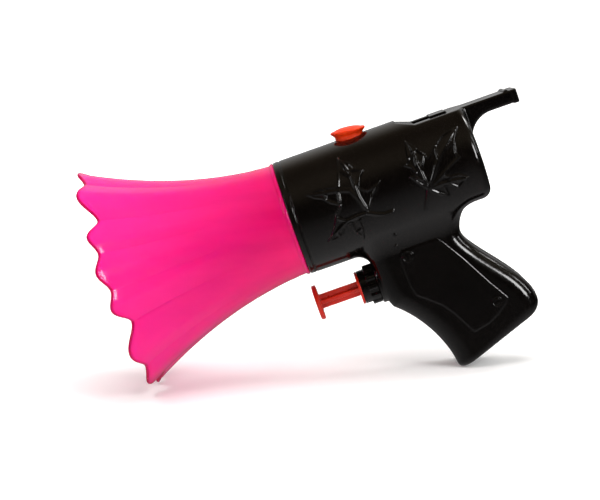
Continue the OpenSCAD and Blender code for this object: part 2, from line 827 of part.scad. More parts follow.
// Return spring: one tube of six sides, eight rings a turn, with a straight piece at each end
spring_end = pump_back + hair - 0.15;
coil_x0 = spring_x + wire_d / 2;
coil_x1 = spring_end - wire_d / 2;
coil_n = spring_turns * 8;
coil_pitch = (coil_x1 - coil_x0) / spring_turns;
function coil(i) = let (a = 360 * i / 8)
    [coil_x0 + (coil_x1 - coil_x0) * i / coil_n, spring_d / 2 * cos(a), spring_d / 2 * sin(a)];
coil_path = concat([coil(0) - [0, 0, wire_d]],
    [for (i = [0:coil_n]) coil(i)],
    [coil(coil_n) + [0, 0, wire_d]]);
coil_gap = min([for (i = [0:coil_n - 6], j = [i + 6:min(i + 10, coil_n)])
    norm(coil(i) - coil(j))]) - wire_d;
echo(least_gap_of_the_return_spring_to_itself = coil_gap);

module return_spring() {
    m = len(coil_path);
    rings = [for (i = [0:m - 1]) let (
            d = coil_path[min(i + 1, m - 1)] - coil_path[max(i - 1, 0)],
            t = d / norm(d),
            u = cross(t, [1, 0, 0]) / norm(cross(t, [1, 0, 0])),
            v = cross(t, u))
        [for (k = [0:5]) coil_path[i] + wire_d / 2 * (cos(60 * k) * u + sin(60 * k) * v)]];
    color("#a9adb2") stand() at_pump()
        loft(rings);
}

module filler_plug() {
    color("#e8402a") stand() plug_place() difference() {
        union() {
            upright(-plug_deep, plug_proud + cut, plug_d);
            translate([0, 0, plug_proud])
                rotate_extrude()
                    polygon([[0, 0],
                        [plug_flange_d / 2 - 0.3, 0],
                        [plug_flange_d / 2, 0.3],
                        [plug_flange_d / 2, plug_flange_t - 0.5],
                        [plug_flange_d / 2 - 0.5, plug_flange_t],
                        [0, plug_flange_t + 0.3]]);
        }
        upright(-plug_deep - cut, plug_proud - 1, plug_d - 3);
    }
}

module whistle_chamber() {
    x0 = edge_x - chamber_wall;
    x1 = inner_x - hair;
    half = chamber_w / 2;
    top = roof_z - hair;
    color("#26262a") stand() difference() {
        translate([x0, -half, top - chamber_deep - chamber_wall])
            cube([x1 - x0, 2 * half, chamber_deep + chamber_wall]);
        translate([edge_x, -half + chamber_wall, top - chamber_deep])
            cube([window_len, 2 * (half - chamber_wall), far]);
        translate([bridge_x - cut, -windway_w / 2, top - windway_h + hair])
            cube([far, windway_w, far]);
        translate([bridge_x + 1.6, -half + chamber_wall, top - chamber_deep - far])
            cube([x1 - bridge_x - 2.8, 2 * (half - chamber_wall), far + chamber_deep - windway_h - 1.4]);
    }
}

module whistle_bridge() {
    color("#1c1c1f") stand()
        translate([bridge_x, -window_w / 2 + fit, roof_z])
            cube([bridge_len - fit, window_w - 2 * fit, wall + bridge_h]);
}

near_shell();
far_shell();
bell();
nozzle();
delivery_tube();
outlet_cap();
outlet_ball();
pump_head();
inlet_fitting();
inlet_ball();
dip_tube();
pump_cylinder();
return_spring();
piston();
piston_cup();
trigger();
gland_nut();
gland_seal();
stem_bush();
filler_plug();
whistle_chamber();
whistle_bridge();
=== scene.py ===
"""Looks of the water squirter whistle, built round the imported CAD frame."""
import json
import math
import bpy
import numpy as np
from mathutils import Matrix, Vector


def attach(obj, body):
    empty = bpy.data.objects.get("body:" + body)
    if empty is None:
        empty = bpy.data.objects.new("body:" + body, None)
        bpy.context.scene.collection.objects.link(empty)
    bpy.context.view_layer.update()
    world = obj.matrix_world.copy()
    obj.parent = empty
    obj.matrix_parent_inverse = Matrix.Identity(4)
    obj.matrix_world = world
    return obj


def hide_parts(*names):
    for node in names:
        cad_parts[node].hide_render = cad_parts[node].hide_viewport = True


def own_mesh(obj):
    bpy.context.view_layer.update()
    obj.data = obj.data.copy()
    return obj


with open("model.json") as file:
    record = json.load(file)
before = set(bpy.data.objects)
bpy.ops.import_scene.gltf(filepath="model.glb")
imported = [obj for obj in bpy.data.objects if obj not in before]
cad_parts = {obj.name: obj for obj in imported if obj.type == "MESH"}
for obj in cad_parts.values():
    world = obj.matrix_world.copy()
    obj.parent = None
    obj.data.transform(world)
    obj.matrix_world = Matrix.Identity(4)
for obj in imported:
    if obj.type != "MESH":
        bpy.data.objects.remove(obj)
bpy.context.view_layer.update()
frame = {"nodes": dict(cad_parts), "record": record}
nodes = frame["nodes"]

# The gun frame of the CAD source: millimetres, bell joint at the origin, X towards the mouthpiece
PITCH = math.radians(15.6286)
SHIFT_X, SHIFT_Z = -5.91345, 57.9694
COS, SIN = math.cos(PITCH), math.sin(PITCH)
BARREL_R, BARREL_LEN, WALL = 21.3, 70.8, 1.8
MOUTH_END, MOUTH_H, MOUTH_CURVE, MOUTH_HALF_W, LIP_H = 91.0, 4.8, 9.5, 7.5, 0.3
GRIP_HALF, GRIP_FRONT_X = 10.8, 21.9
FLAT_Z, EDGE_X, RAMP_LEN, SLOT_LEN, WINDOW_W = 18.3, 52.8, 6.0, 12.4, 12.0
PUMP_Z = -32.6
BUTT = math.radians(18.7)
TOE = np.array([40.6, -72.2])
BUTT_DIR = np.array([math.cos(BUTT), math.sin(BUTT)])
BUTT_OUT = np.array([math.sin(BUTT), -math.cos(BUTT)])
HEEL = TOE + 38.0 * BUTT_DIR
PLUG_X, PLUG_LEAN = 29.6, math.radians(6)
PIN_SPOTS = [(16.0, 12.9), (16.0, -12.9), (61.8, -7.5), tuple(HEEL + [-17.4, 5.0]), (34.6, PUMP_Z - 13.4)]
PIN_R, PIN_HOLE_R, PIN_BOSS_R, PIN_LEN, PIN_HOLE_DEPTH = 1.2, 1.28, 2.6, 3.0, 3.5
BULKHEAD_X, SPIGOT_BORE_R, NOZZLE_SEAT_R, NOZZLE_SEAT_END = 8.0, 19.5, 3.58, 12.0
PUMP_BORE_R, PUMP_BORE_START, PUMP_BORE_END = 5.48, 4.0, 41.0
CRADLE_X, CRADLE_HALF_H = 32.9, 7.4
FILLER_R, FILLER_BOSS_R, FILLER_DEPTH = 5.18, 6.9, 5.0
WINDWAY_HALF_W, WINDWAY_H, WINDWAY_START = 4.8, 1.6, 68.5
COLLAR_R, GROOVE_X, GROOVE_R, BEAD_BACK, BEAD_R = 8.0, 2.4, 0.3, 3.6, 0.8
TAIL_ROUND, FRONT_ROUND, WEB_ROUND, GRIP_ROUND = 3.2, 0.8, 4.2, 6.2
GRIP_BLEND, SEAM_GAP, SEAM_ROUND = 5.0, 0.03, 0.16


def to_row(p):
    """Gun frame in mm to row frame in m."""
    p = np.asarray(p, float)
    x, y, z = p[..., 0], p[..., 1], p[..., 2]
    return np.stack([x * COS - z * SIN + SHIFT_X, y, x * SIN + z * COS + SHIFT_Z], -1) * 0.001


def turn_row(n):
    """Gun-frame directions to row-frame directions."""
    n = np.asarray(n, float)
    return np.stack([n[..., 0] * COS - n[..., 2] * SIN, n[..., 1], n[..., 0] * SIN + n[..., 2] * COS], -1)


# Distance fields

def rint(a, b, r):
    """Intersection whose outer edge is rounded to r."""
    return np.minimum(np.maximum(a, b), -r) + np.hypot(np.maximum(a + r, 0), np.maximum(b + r, 0))


def runi(a, b, r):
    """Union with a fillet of r."""
    return -rint(-a, -b, r)


def polygon_distance(x, z, poly):
    """Signed distance to a closed polygon, negative inside."""
    shape = np.broadcast(x, z).shape
    x, z = np.broadcast_to(x, shape), np.broadcast_to(z, shape)
    best = np.full(shape, 1e9)
    odd = np.zeros(shape, bool)
    for (ax, az), (bx, bz) in zip(poly, np.roll(poly, -1, 0)):
        ex, ez = bx - ax, bz - az
        px, pz = x - ax, z - az
        t = np.clip((px * ex + pz * ez) / (ex * ex + ez * ez + 1e-12), 0, 1)
        best = np.minimum(best, (px - t * ex) ** 2 + (pz - t * ez) ** 2)
        if az != bz:
            odd ^= ((az > z) != (bz > z)) & (px < ex * pz / ez)
    d = np.sqrt(best)
    return np.where(odd, -d, d)


def bezier(p, n):
    t = np.linspace(0, 1, n)[:, None]
    p = np.asarray(p, float)
    return (1 - t) ** 3 * p[0] + 3 * t * (1 - t) ** 2 * p[1] + 3 * t * t * (1 - t) * p[2] + t ** 3 * p[3]


STRAP_TOP = np.array([24.6, PUMP_Z - 9.8])
STRAP_END = TOE - 1.6 * BUTT_OUT
BACK_END = HEEL - 4.6 * BUTT_OUT
WEB_X, WEB_R, WEB_Z = 56.3, 8.4, -23.5
TAIL_Z = WEB_Z + WEB_R
BELOW = 14


def grip_outline():
    """Side outline of the grip, drawn out past the butt that later cuts it off."""
    front = np.concatenate([
        [(GRIP_FRONT_X, -BARREL_R / 2)],
        bezier([(GRIP_FRONT_X, -24.9), (GRIP_FRONT_X, -28.9), (22.0, PUMP_Z - 5), STRAP_TOP], 12)[:-1],
        bezier([STRAP_TOP, STRAP_TOP + [6.4, -5.2], STRAP_END + [-1.4, 12], STRAP_END], 26)])
    back = np.concatenate([
        bezier([(56.9, -BARREL_R / 2), (56.7, -14.65), (WEB_X, -19.5), (WEB_X, WEB_Z)], 10)[:-1],
        bezier([(WEB_X, WEB_Z), (56.5, -31.5), BACK_END + [-0.4, 10.6], BACK_END], 26)])
    low_f, low_b = (e[-1] + BELOW * (e[-1] - e[-2]) / np.linalg.norm(e[-1] - e[-2]) for e in (front, back))
    return np.concatenate([front, [low_f, low_b], back[::-1]])


GRIP = grip_outline()
PANEL_RISE, PANEL_SLOPE = 0.28, 0.75
PANEL = np.array([
    (47.4, -22.6), (49.1, -24.8), (54.3, -33.3), (60.2, -44.1), (64.9, -51.9), (63.0, -54.2), (59.8, -56.6),
    (55.3, -58.9), (48.9, -60.2), (44.3, -51.6), (41.1, -47.0), (36.7, -43.1), (33.3, -40.4), (32.3, -36.6),
    (32.0, -31.5), (32.0, -25.2), (33.6, -22.6)])


def corner_quadrant(x, z, x0, z0, r):
    """The region right of x0 and below z0, its corner rounded to r."""
    qx, qz = x0 + r - x, z - z0 + r
    return np.hypot(np.maximum(qx, 0), np.maximum(qz, 0)) + np.minimum(np.maximum(qx, qz), 0) - r


def above_flat(x, z):
    """The space over the whistle flat and the ramp that leads down to it."""
    start, top = EDGE_X - RAMP_LEN, BARREL_R - 0.6
    fall = top - FLAT_Z
    ramp = ((x - start) * fall + (z - top) * RAMP_LEN) / math.hypot(RAMP_LEN, fall)
    return np.maximum(np.maximum(start - x, -ramp), FLAT_Z - z)


def plain_body(x, y, z):
    """Outer form of barrel, grip and mouthpiece, without fine detail."""
    ay = np.abs(y)
    rho = np.hypot(y, z)
    b = rint(rint(rho - BARREL_R, x - BARREL_LEN, TAIL_ROUND), -x, FRONT_ROUND)
    b = rint(b, -above_flat(x, z), 0.4)
    b = rint(b, -corner_quadrant(x, z, WEB_X, TAIL_Z, WEB_R), WEB_ROUND)
    g = rint(polygon_distance(x, z, GRIP), ay - GRIP_HALF, GRIP_ROUND)
    along = (x - TOE[0]) * BUTT_DIR[0] + (z - TOE[1]) * BUTT_DIR[1]
    out = (x - TOE[0]) * BUTT_OUT[0] + (z - TOE[1]) * BUTT_OUT[1]
    g = rint(g, out, 2.2 + 2.2 * np.clip((along - 8) / 24, 0, 1))
    s = runi(b, g, GRIP_BLEND)
    m = np.maximum(np.maximum(z - FLAT_Z, x - MOUTH_END), BARREL_LEN - 3 - x)
    m = np.maximum(m, FLAT_Z - MOUTH_H - MOUTH_CURVE - z)
    m = np.maximum(m, -corner_quadrant(x, z, BARREL_LEN, FLAT_Z - MOUTH_H, MOUTH_CURVE))
    m = rint(m, ay - MOUTH_HALF_W, 1.0)
    half = (MOUTH_H + LIP_H) / 2
    lip = rint(np.abs(z - FLAT_Z + half) - half, ay - MOUTH_HALF_W - LIP_H, 0.9)
    m = runi(m, rint(lip, np.abs(x - MOUTH_END + 1.0) - 1.0, 0.4), 0.4)
    return rint(runi(s, m, 1.2), -above_flat(x, z), 0.3)


def detailed_body(x, y, z):
    """The plain form with pump collar, barrel groove, raised grip panels and mouthpiece bead."""
    ay = np.abs(y)
    s = plain_body(x, y, z)
    collar = np.maximum(rint(np.hypot(y, z - PUMP_Z) - COLLAR_R, 21.8 - x, 0.5), x - 28)
    s = runi(s, collar, 0.35)
    groove = np.hypot(x - GROOVE_X, np.hypot(y, z) - BARREL_R) - GROOVE_R
    s = rint(s, -groove, 0.12)
    inside = np.clip(-polygon_distance(x, z, PANEL) / PANEL_SLOPE, 0, 1)
    s = s - np.where(ay > 5, PANEL_RISE * inside * inside * (3 - 2 * inside), 0)
    bead = np.maximum(np.hypot(x - MOUTH_END + BEAD_BACK, (z - FLAT_Z) * 1.4) - BEAD_R, ay - 6.6)
    return runi(s, bead, 0.25)


def plug_local(x, y, z):
    """Distance along the plug's axis from the barrel's top, and distance off that axis."""
    dx, dz = x - PLUG_X, z - BARREL_R
    along = dx * math.sin(PLUG_LEAN) + dz * math.cos(PLUG_LEAN)
    side = dx * math.cos(PLUG_LEAN) - dz * math.sin(PLUG_LEAN)
    return along, np.hypot(side, y)


def shell_field(x, y, z):
    """Both halves of the body in one: outer form less cavity, bores, window and windway."""
    outer = detailed_body(x, y, z)
    rho = np.hypot(y, z)
    pump = np.hypot(y, z - PUMP_Z)
    cavity = np.maximum(plain_body(x, y, z) + WALL, BULKHEAD_X + WALL - x)
    for px, pz in PIN_SPOTS:
        cavity = np.maximum(cavity, PIN_BOSS_R - np.hypot(x - px, z - pz))
    cradle = np.maximum(np.abs(x - CRADLE_X) - WALL / 2, np.abs(z - PUMP_Z) - CRADLE_HALF_H)
    cavity = np.maximum(cavity, -cradle)
    along, off = plug_local(x, y, z)
    neck = np.maximum(off - FILLER_BOSS_R, np.maximum(-FILLER_DEPTH - along, along - 3))
    cavity = np.maximum(cavity, -neck)
    s = np.maximum(outer, -cavity)
    s = np.maximum(s, -np.maximum(rho - SPIGOT_BORE_R, x - BULKHEAD_X))
    s = np.maximum(s, -np.maximum(rho - NOZZLE_SEAT_R, x - NOZZLE_SEAT_END))
    s = np.maximum(s, -np.maximum(pump - PUMP_BORE_R, np.maximum(x - PUMP_BORE_END, PUMP_BORE_START - x)))
    s = np.maximum(s, -np.maximum(off - FILLER_R, -FILLER_DEPTH - 1.0 - along))
    roof = FLAT_Z - WALL
    slot = np.abs(x - EDGE_X - SLOT_LEN / 2) - SLOT_LEN / 2
    window = np.maximum(slot, np.maximum(np.abs(y) - WINDOW_W / 2, roof - 0.5 - z))
    s = np.maximum(s, -window)
    half_h = WINDWAY_H / 2
    windway = np.maximum(np.abs(y) - WINDWAY_HALF_W, np.abs(z - roof + half_h) - half_h)
    return np.maximum(s, -np.maximum(windway, WINDWAY_START - x))


def near_field(x, y, z):
    s = rint(shell_field(x, y, z), y + SEAM_GAP, SEAM_ROUND)
    for px, pz in PIN_SPOTS:
        s = np.maximum(s, -np.maximum(np.hypot(x - px, z - pz) - PIN_HOLE_R, -PIN_HOLE_DEPTH - y))
    return s


def far_field(x, y, z):
    s = rint(shell_field(x, y, z), SEAM_GAP - y, SEAM_ROUND)
    for px, pz in PIN_SPOTS:
        pin = np.maximum(np.hypot(x - px, z - pz) - PIN_R, np.abs(y + 1.0) - PIN_LEN + 1.0)
        s = np.minimum(s, pin)
    return s


NET_PROBE, NET_STEP = 0.12, 0.2


def surface_net(field, xs, ys, zs, project=2):
    """Closed quad mesh of a distance field on a rectilinear grid: points, quads and normals."""
    f = field(xs[:, None, None], ys[None, :, None], zs[None, None, :])
    f = np.broadcast_to(f, (len(xs), len(ys), len(zs)))
    axes = (xs, ys, zs)
    cells = tuple(k - 1 for k in f.shape)
    total = cells[0] * cells[1] * cells[2]
    weight = np.zeros(total)
    place = np.zeros((total, 3))
    quads = []
    for ax in range(3):
        low = [slice(None)] * 3
        high = [slice(None)] * 3
        low[ax], high[ax] = slice(0, -1), slice(1, None)
        a, b = f[tuple(low)], f[tuple(high)]
        cross = (a < 0) != (b < 0)
        idx = np.argwhere(cross)
        fa, fb = a[cross], b[cross]
        pos = np.stack([axes[k][idx[:, k]] for k in range(3)], 1)
        pos[:, ax] += fa / (fa - fb) * (axes[ax][idx[:, ax] + 1] - axes[ax][idx[:, ax]])
        o1, o2 = (ax + 1) % 3, (ax + 2) % 3
        ring = []
        for d1, d2 in ((-1, -1), (0, -1), (0, 0), (-1, 0)):
            c = idx.copy()
            c[:, o1] += d1
            c[:, o2] += d2
            flat = np.ravel_multi_index(c.T, cells)
            weight += np.bincount(flat, minlength=total)
            for k in range(3):
                place[:, k] += np.bincount(flat, pos[:, k], minlength=total)
            ring.append(flat)
        q = np.stack(ring, 1)
        quads.append(np.where((fa < 0)[:, None], q, q[:, ::-1]))
    used = weight > 0
    number = np.cumsum(used) - 1
    points = place[used] / weight[used][:, None]
    quads = number[np.concatenate(quads)]
    for _ in range(project):
        g, value = slope(field, points, NET_PROBE)
        step = value[:, None] * g / np.maximum((g * g).sum(1), 0.3)[:, None]
        size = np.linalg.norm(step, axis=1)[:, None]
        points = points - step * np.minimum(1, NET_STEP / np.maximum(size, 1e-9))
    g, _ = slope(field, points, NET_PROBE)
    return points, quads, g / np.maximum(np.linalg.norm(g, axis=1), 1e-9)[:, None]


def slope(field, p, h):
    """Gradient and value of a field at points."""
    x, y, z = p.T
    g = np.stack([field(x + h, y, z) - field(x - h, y, z), field(x, y + h, z) - field(x, y - h, z),
                  field(x, y, z + h) - field(x, y, z - h)], 1) / (2 * h)
    return g, field(x, y, z)


def steps(*spans):
    """Grid lines through spans of (start, end, spacing)."""
    out = []
    for a, b, h in spans:
        n = max(1, int(round((b - a) / h)))
        out.append(np.linspace(a, b, n, endpoint=False))
    out.append([spans[-1][1]])
    return np.concatenate(out)


def make_mesh(name, points, faces, normals=None):
    """Mesh object from gun-frame points in mm."""
    mesh = bpy.data.meshes.new(name)
    mesh.from_pydata(to_row(points).tolist(), [], [list(map(int, q)) for q in faces])
    mesh.validate()
    mesh.polygons.foreach_set("use_smooth", [True] * len(mesh.polygons))
    if normals is not None and len(mesh.vertices) == len(points):
        mesh.normals_split_custom_set_from_vertices(turn_row(normals).tolist())
    obj = bpy.data.objects.new(name, mesh)
    bpy.context.scene.collection.objects.link(obj)
    return obj


# Materials

NOISE_LOW, NOISE_HIGH = 0.3, 0.7
DRIFT_SCALE, CLOUD_SCALE, SKIN_DEPTH = 45.0, 130.0, 0.0004


def moulded(name, color, rough, vary=0.12, grain=700.0, bump=0.03, subsurface=0.0, radius=None,
            transmission=0.0, metallic=0.0, gloss=0.5, tint=None, fade=None, flow=False, lip=None):
    """Moulded surface: slight colour drift, cloudy roughness and fine skin texture.

    fade is (from, to, colour) along X and paints light and shade as a gradient towards that colour, flow
    draws the drift out along the barrel, and lip is the colour of the points whose lip value is 1, painted
    as shade.
    """
    mat = bpy.data.materials.new(name)
    mat.use_nodes = True
    tree = mat.node_tree
    n, link = tree.nodes, tree.links
    bsdf = n["Principled BSDF"]
    coord = n.new("ShaderNodeTexCoord")

    def noise(scale, detail):
        t = n.new("ShaderNodeTexNoise")
        t.inputs["Scale"].default_value = scale
        t.inputs["Detail"].default_value = detail
        link.new(coord.outputs["Object"], t.inputs["Vector"])
        return t

    def mixed(base, share, other):
        mix = n.new("ShaderNodeMix")
        mix.data_type = "RGBA"
        mix.inputs["B"].default_value = tuple(other) + (1,)
        link.new(share, mix.inputs["Factor"])
        link.new(base, mix.inputs["A"])
        return mix.outputs["Result"]

    ramp = n.new("ShaderNodeValToRGB")
    low = [c * (1 - vary) for c in color]
    high = [min(1, c * (1 + vary)) for c in color] if tint is None else list(tint)
    ramp.color_ramp.elements[0].position = NOISE_LOW
    ramp.color_ramp.elements[1].position = NOISE_HIGH
    ramp.color_ramp.elements[0].color = low + [1]
    ramp.color_ramp.elements[1].color = high + [1]
    drift = noise(DRIFT_SCALE, 3.0)
    if flow:
        lay = n.new("ShaderNodeMapping")
        lay.inputs["Rotation"].default_value = (0, PITCH, 0)
        lay.inputs["Scale"].default_value = (0.25, 1.6, 1.6)
        link.new(coord.outputs["Object"], lay.inputs["Vector"])
        link.new(lay.outputs["Vector"], drift.inputs["Vector"])
    link.new(drift.outputs["Fac"], ramp.inputs["Fac"])
    shade = ramp.outputs["Color"]
    # Painted light and shade: the colour blends towards the fade colour along X.
    if fade:
        split = n.new("ShaderNodeSeparateXYZ")
        reach = n.new("ShaderNodeMapRange")
        reach.inputs["From Min"].default_value = fade[0]
        reach.inputs["From Max"].default_value = fade[1]
        link.new(coord.outputs["Object"], split.inputs["Vector"])
        link.new(split.outputs["X"], reach.inputs["Value"])
        shade = mixed(shade, reach.outputs["Result"], fade[2])
    # Painted shade: the points whose lip value is 1 take the darker lip colour.
    if lip:
        edge = n.new("ShaderNodeAttribute")
        edge.attribute_name = "lip"
        shade = mixed(shade, edge.outputs["Fac"], lip)
    link.new(shade, bsdf.inputs["Base Color"])
    span = n.new("ShaderNodeMapRange")
    span.inputs["From Min"].default_value = NOISE_LOW
    span.inputs["From Max"].default_value = NOISE_HIGH
    span.inputs["To Min"].default_value = rough * 0.8
    span.inputs["To Max"].default_value = rough * 1.25
    link.new(noise(CLOUD_SCALE, 4.0).outputs["Fac"], span.inputs["Value"])
    link.new(span.outputs["Result"], bsdf.inputs["Roughness"])
    skin = n.new("ShaderNodeBump")
    skin.inputs["Strength"].default_value = bump
    skin.inputs["Distance"].default_value = SKIN_DEPTH
    link.new(noise(grain, 2.0).outputs["Fac"], skin.inputs["Height"])
    link.new(skin.outputs["Normal"], bsdf.inputs["Normal"])
    bsdf.inputs["Metallic"].default_value = metallic
    bsdf.inputs["Specular IOR Level"].default_value = gloss
    bsdf.inputs["Transmission Weight"].default_value = transmission
    if subsurface:
        bsdf.inputs["Subsurface Weight"].default_value = subsurface
        bsdf.inputs["Subsurface Radius"].default_value = radius
        bsdf.inputs["Subsurface Scale"].default_value = 1.0
    return mat


BLACK = moulded("black_gloss", (0.0019, 0.0014, 0.0012), 0.14, vary=0.3, bump=0.06, grain=900.0, gloss=0.42)
# The pink bell's colour paints its light and shade: darker at the neck where the dark inside shows through,
# paler painted light towards the rim, and a darker painted shade on the rim lip.
PINK = moulded("pink_translucent", (0.54, 0.003, 0.105), 0.15, vary=0.06, bump=0.03, subsurface=0.7,
               radius=(0.006, 0.0005, 0.002), tint=(0.7, 0.009, 0.14), gloss=0.34,
               fade=(-0.012, -0.082, (0.86, 0.02, 0.29)), flow=True, lip=(0.36, 0.001, 0.07))
RED = moulded("red_moulded", (0.52, 0.014, 0.004), 0.3, vary=0.1, bump=0.08, grain=1400.0, gloss=0.45)
PLUG = moulded("plug_red", (0.78, 0.042, 0.004), 0.32, vary=0.08, bump=0.08, grain=1400.0, subsurface=0.2,
               radius=(0.002, 0.0005, 0.0003), gloss=0.24)
WHITE = moulded("natural_plastic", (0.72, 0.7, 0.64), 0.4, vary=0.05)
GREY = moulded("dark_grey_plastic", (0.03, 0.03, 0.033), 0.36, vary=0.15)
HOSE = moulded("clear_hose", (0.72, 0.78, 0.79), 0.2, vary=0.04, transmission=0.7)
RUBBER = moulded("seal_rubber", (0.02, 0.02, 0.021), 0.62, vary=0.2, bump=0.2, grain=1800.0)
STEEL = moulded("spring_steel", (0.5, 0.51, 0.53), 0.3, vary=0.08, metallic=1.0)
BALL = moulded("ball_steel", (0.58, 0.59, 0.6), 0.12, vary=0.04, metallic=1.0)
LOOKS = {
    "black_plastic": BLACK, "pink_plastic": PINK, "red_plastic": RED, "plug_red": PLUG,
    "white_plastic": WHITE, "grey_plastic": GREY, "clear_hose": HOSE, "seal_rubber": RUBBER,
    "spring_steel": STEEL, "ball_steel": BALL}

for part in frame["record"]["subparts"]:
    mesh = nodes[part["node"]].data
    mesh.materials.clear()
    mesh.materials.append(LOOKS[part["material_slot"]])


def dress(obj, slot, body="body", replaces=None):
    """Give a piece the material of its slot, attach it to its body and hide the CAD node it stands for."""
    obj.data.materials.clear()
    obj.data.materials.append(LOOKS[slot])
    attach(obj, body)
    if replaces:
        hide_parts(replaces)
    return obj


# Moulded body halves

XS = steps((-1.6, 92.4, 0.5))
ZS = steps((-75.0, 23.0, 0.5))
NEAR_Y = steps((-23.0, -11.4, 0.5), (-11.4, -9.8, 0.2), (-9.8, -0.6, 0.575), (-0.6, 1.05, 0.15))
FAR_Y = steps((-4.5, -0.6, 0.55), (-0.6, 0.6, 0.15), (0.6, 9.8, 0.575), (9.8, 11.4, 0.2), (11.4, 23.0, 0.5))
near = make_mesh("near_body", *surface_net(near_field, XS, NEAR_Y, ZS))
dress(near, "black_plastic", replaces="near_shell")
far_half = make_mesh("far_body", *surface_net(far_field, XS, FAR_Y, ZS))
dress(far_half, "black_plastic", replaces="far_shell")


# Fluted bell

BELL_LEN, BELL_NECK, BELL_WALL, MOUTH_R = 67.6, 8.0, 1.4, 41.9
BELL_TURN, PETAL_NOTCH, SCALLOP_NOTCH, FOLD_DEPTH = 42.0, 4.8, 2.4, 2.6
NECK_R = BARREL_R - 0.1
SPIGOT_R = BARREL_R - WALL - 0.1
PETALS, LIP_STEPS, FLARE = 6, 9, 0.36


def bell_mesh(columns=820, rows=44):
    """Points, faces and lip values of the bell, the lip values marking the rim rows that get a painted
    darker shade: petals of two and three scallops in turn, folds between.
    """
    angle = np.arange(columns) * 360.0 / columns
    q = ((angle - BELL_TURN) / (360.0 / PETALS)) % PETALS
    petal = np.floor(q).astype(int)
    q = q - petal
    count = np.where(petal % 2 == 0, 2, 3)
    fold = (0.5 + 0.5 * np.cos(2 * np.pi * q)) ** 5
    pleat = 0.5 + 0.5 * np.cos(2 * np.pi * count * q)
    mouth = BELL_LEN - SCALLOP_NOTCH * pleat - (PETAL_NOTCH - SCALLOP_NOTCH) * fold
    small_crease = 0.55 - 0.55 * np.abs(np.sin(np.pi * count * q)) ** 0.8
    crease = np.maximum(1 - np.sin(np.pi * q) ** 0.5, small_crease)
    dip = 0.35 * np.maximum(fold, 0.55 * pleat) + 0.65 * crease

    def radius(x):
        s = np.maximum(0, x - BELL_NECK) / (BELL_LEN - BELL_NECK)
        swell = FLARE * s + (1 - FLARE) * s * s
        return NECK_R + (MOUTH_R - NECK_R) * swell - FOLD_DEPTH * s ** 1.6 * dip

    neck = [(-6.4, SPIGOT_R - BELL_WALL), (-6.4, SPIGOT_R - BELL_WALL + 0.1), (-6.4, SPIGOT_R - 0.3),
            (-6.1, SPIGOT_R), (-6.0, SPIGOT_R), (-0.1, SPIGOT_R), (0.02, SPIGOT_R), (0.02, SPIGOT_R + 0.1),
            (0.02, NECK_R - 0.4), (0.1, NECK_R - 0.15), (0.35, NECK_R), (0.7, NECK_R), (1.0, NECK_R - 0.1),
            (1.3, NECK_R - 0.4), (1.7, NECK_R - 0.5), (4.0, NECK_R - 0.35), (6.5, NECK_R - 0.08)]
    profile = [(np.full(columns, x), np.full(columns, r)) for x, r in neck]
    along = np.linspace(0, 1, rows)
    wall = []
    for s in along:
        x = BELL_NECK + s * (mouth - BELL_NECK)
        r = radius(x)
        wall.append((x, r, r - BELL_WALL * (1 + 0.14 * s)))
    lip_x, lip_o, lip_i = wall[-1]
    half = (lip_o - lip_i) / 2
    profile += [(x, o) for x, o, i in wall[:-1]]
    lip_row = len(profile)
    for a in np.linspace(0, 180, LIP_STEPS):
        back = half * (1 - math.sin(math.radians(a)))
        profile.append((lip_x - back * 0.9, (lip_o + lip_i) / 2 + half * math.cos(math.radians(a))))
    profile += [(x, i) for x, o, i in wall[-2::-1]]
    profile.append((np.full(columns, BELL_NECK - 3.0), np.full(columns, SPIGOT_R - BELL_WALL)))
    profile.append((np.full(columns, 0.0), np.full(columns, SPIGOT_R - BELL_WALL)))
    c, s = np.cos(np.radians(angle)), np.sin(np.radians(angle))
    points = np.stack([np.stack([-x, -r * c, r * s], 1) for x, r in profile], 0)
    m, n = len(profile), columns
    grid = np.arange(m * n).reshape(m, n)
    a, b = grid, np.roll(grid, -1, 0)
    faces = np.stack([a, b, np.roll(b, -1, 1), np.roll(a, -1, 1)], -1).reshape(-1, 4)
    # Lip value 1 marks the rim rows that the material paints with a darker shade.
    lip = np.zeros((m, n))
    lip[lip_row:lip_row + LIP_STEPS] = 1.0
    return points.reshape(-1, 3), faces, lip.ravel()


bell_points, bell_faces, bell_lip_shade = bell_mesh()
bell = make_mesh("flower_bell", bell_points, bell_faces)
# The lip attribute carries the painted rim shade to the material.
bell.data.attributes.new("lip", "FLOAT", "POINT").data.foreach_set("value", bell_lip_shade)
dress(bell, "pink_plastic", replaces="bell")


# Leaves in relief on both sides of the barrel

def line_distance(x, z, pts):
    """Distance to an open line through points."""
    best = np.full(np.broadcast(x, z).shape, 1e9)
    for (ax, az), (bx, bz) in zip(pts[:-1], pts[1:]):
        ex, ez = bx - ax, bz - az
        t = np.clip(((x - ax) * ex + (z - az) * ez) / (ex * ex + ez * ez + 1e-12), 0, 1)
        best = np.minimum(best, (x - ax - t * ex) ** 2 + (z - az - t * ez) ** 2)
    return np.sqrt(best)


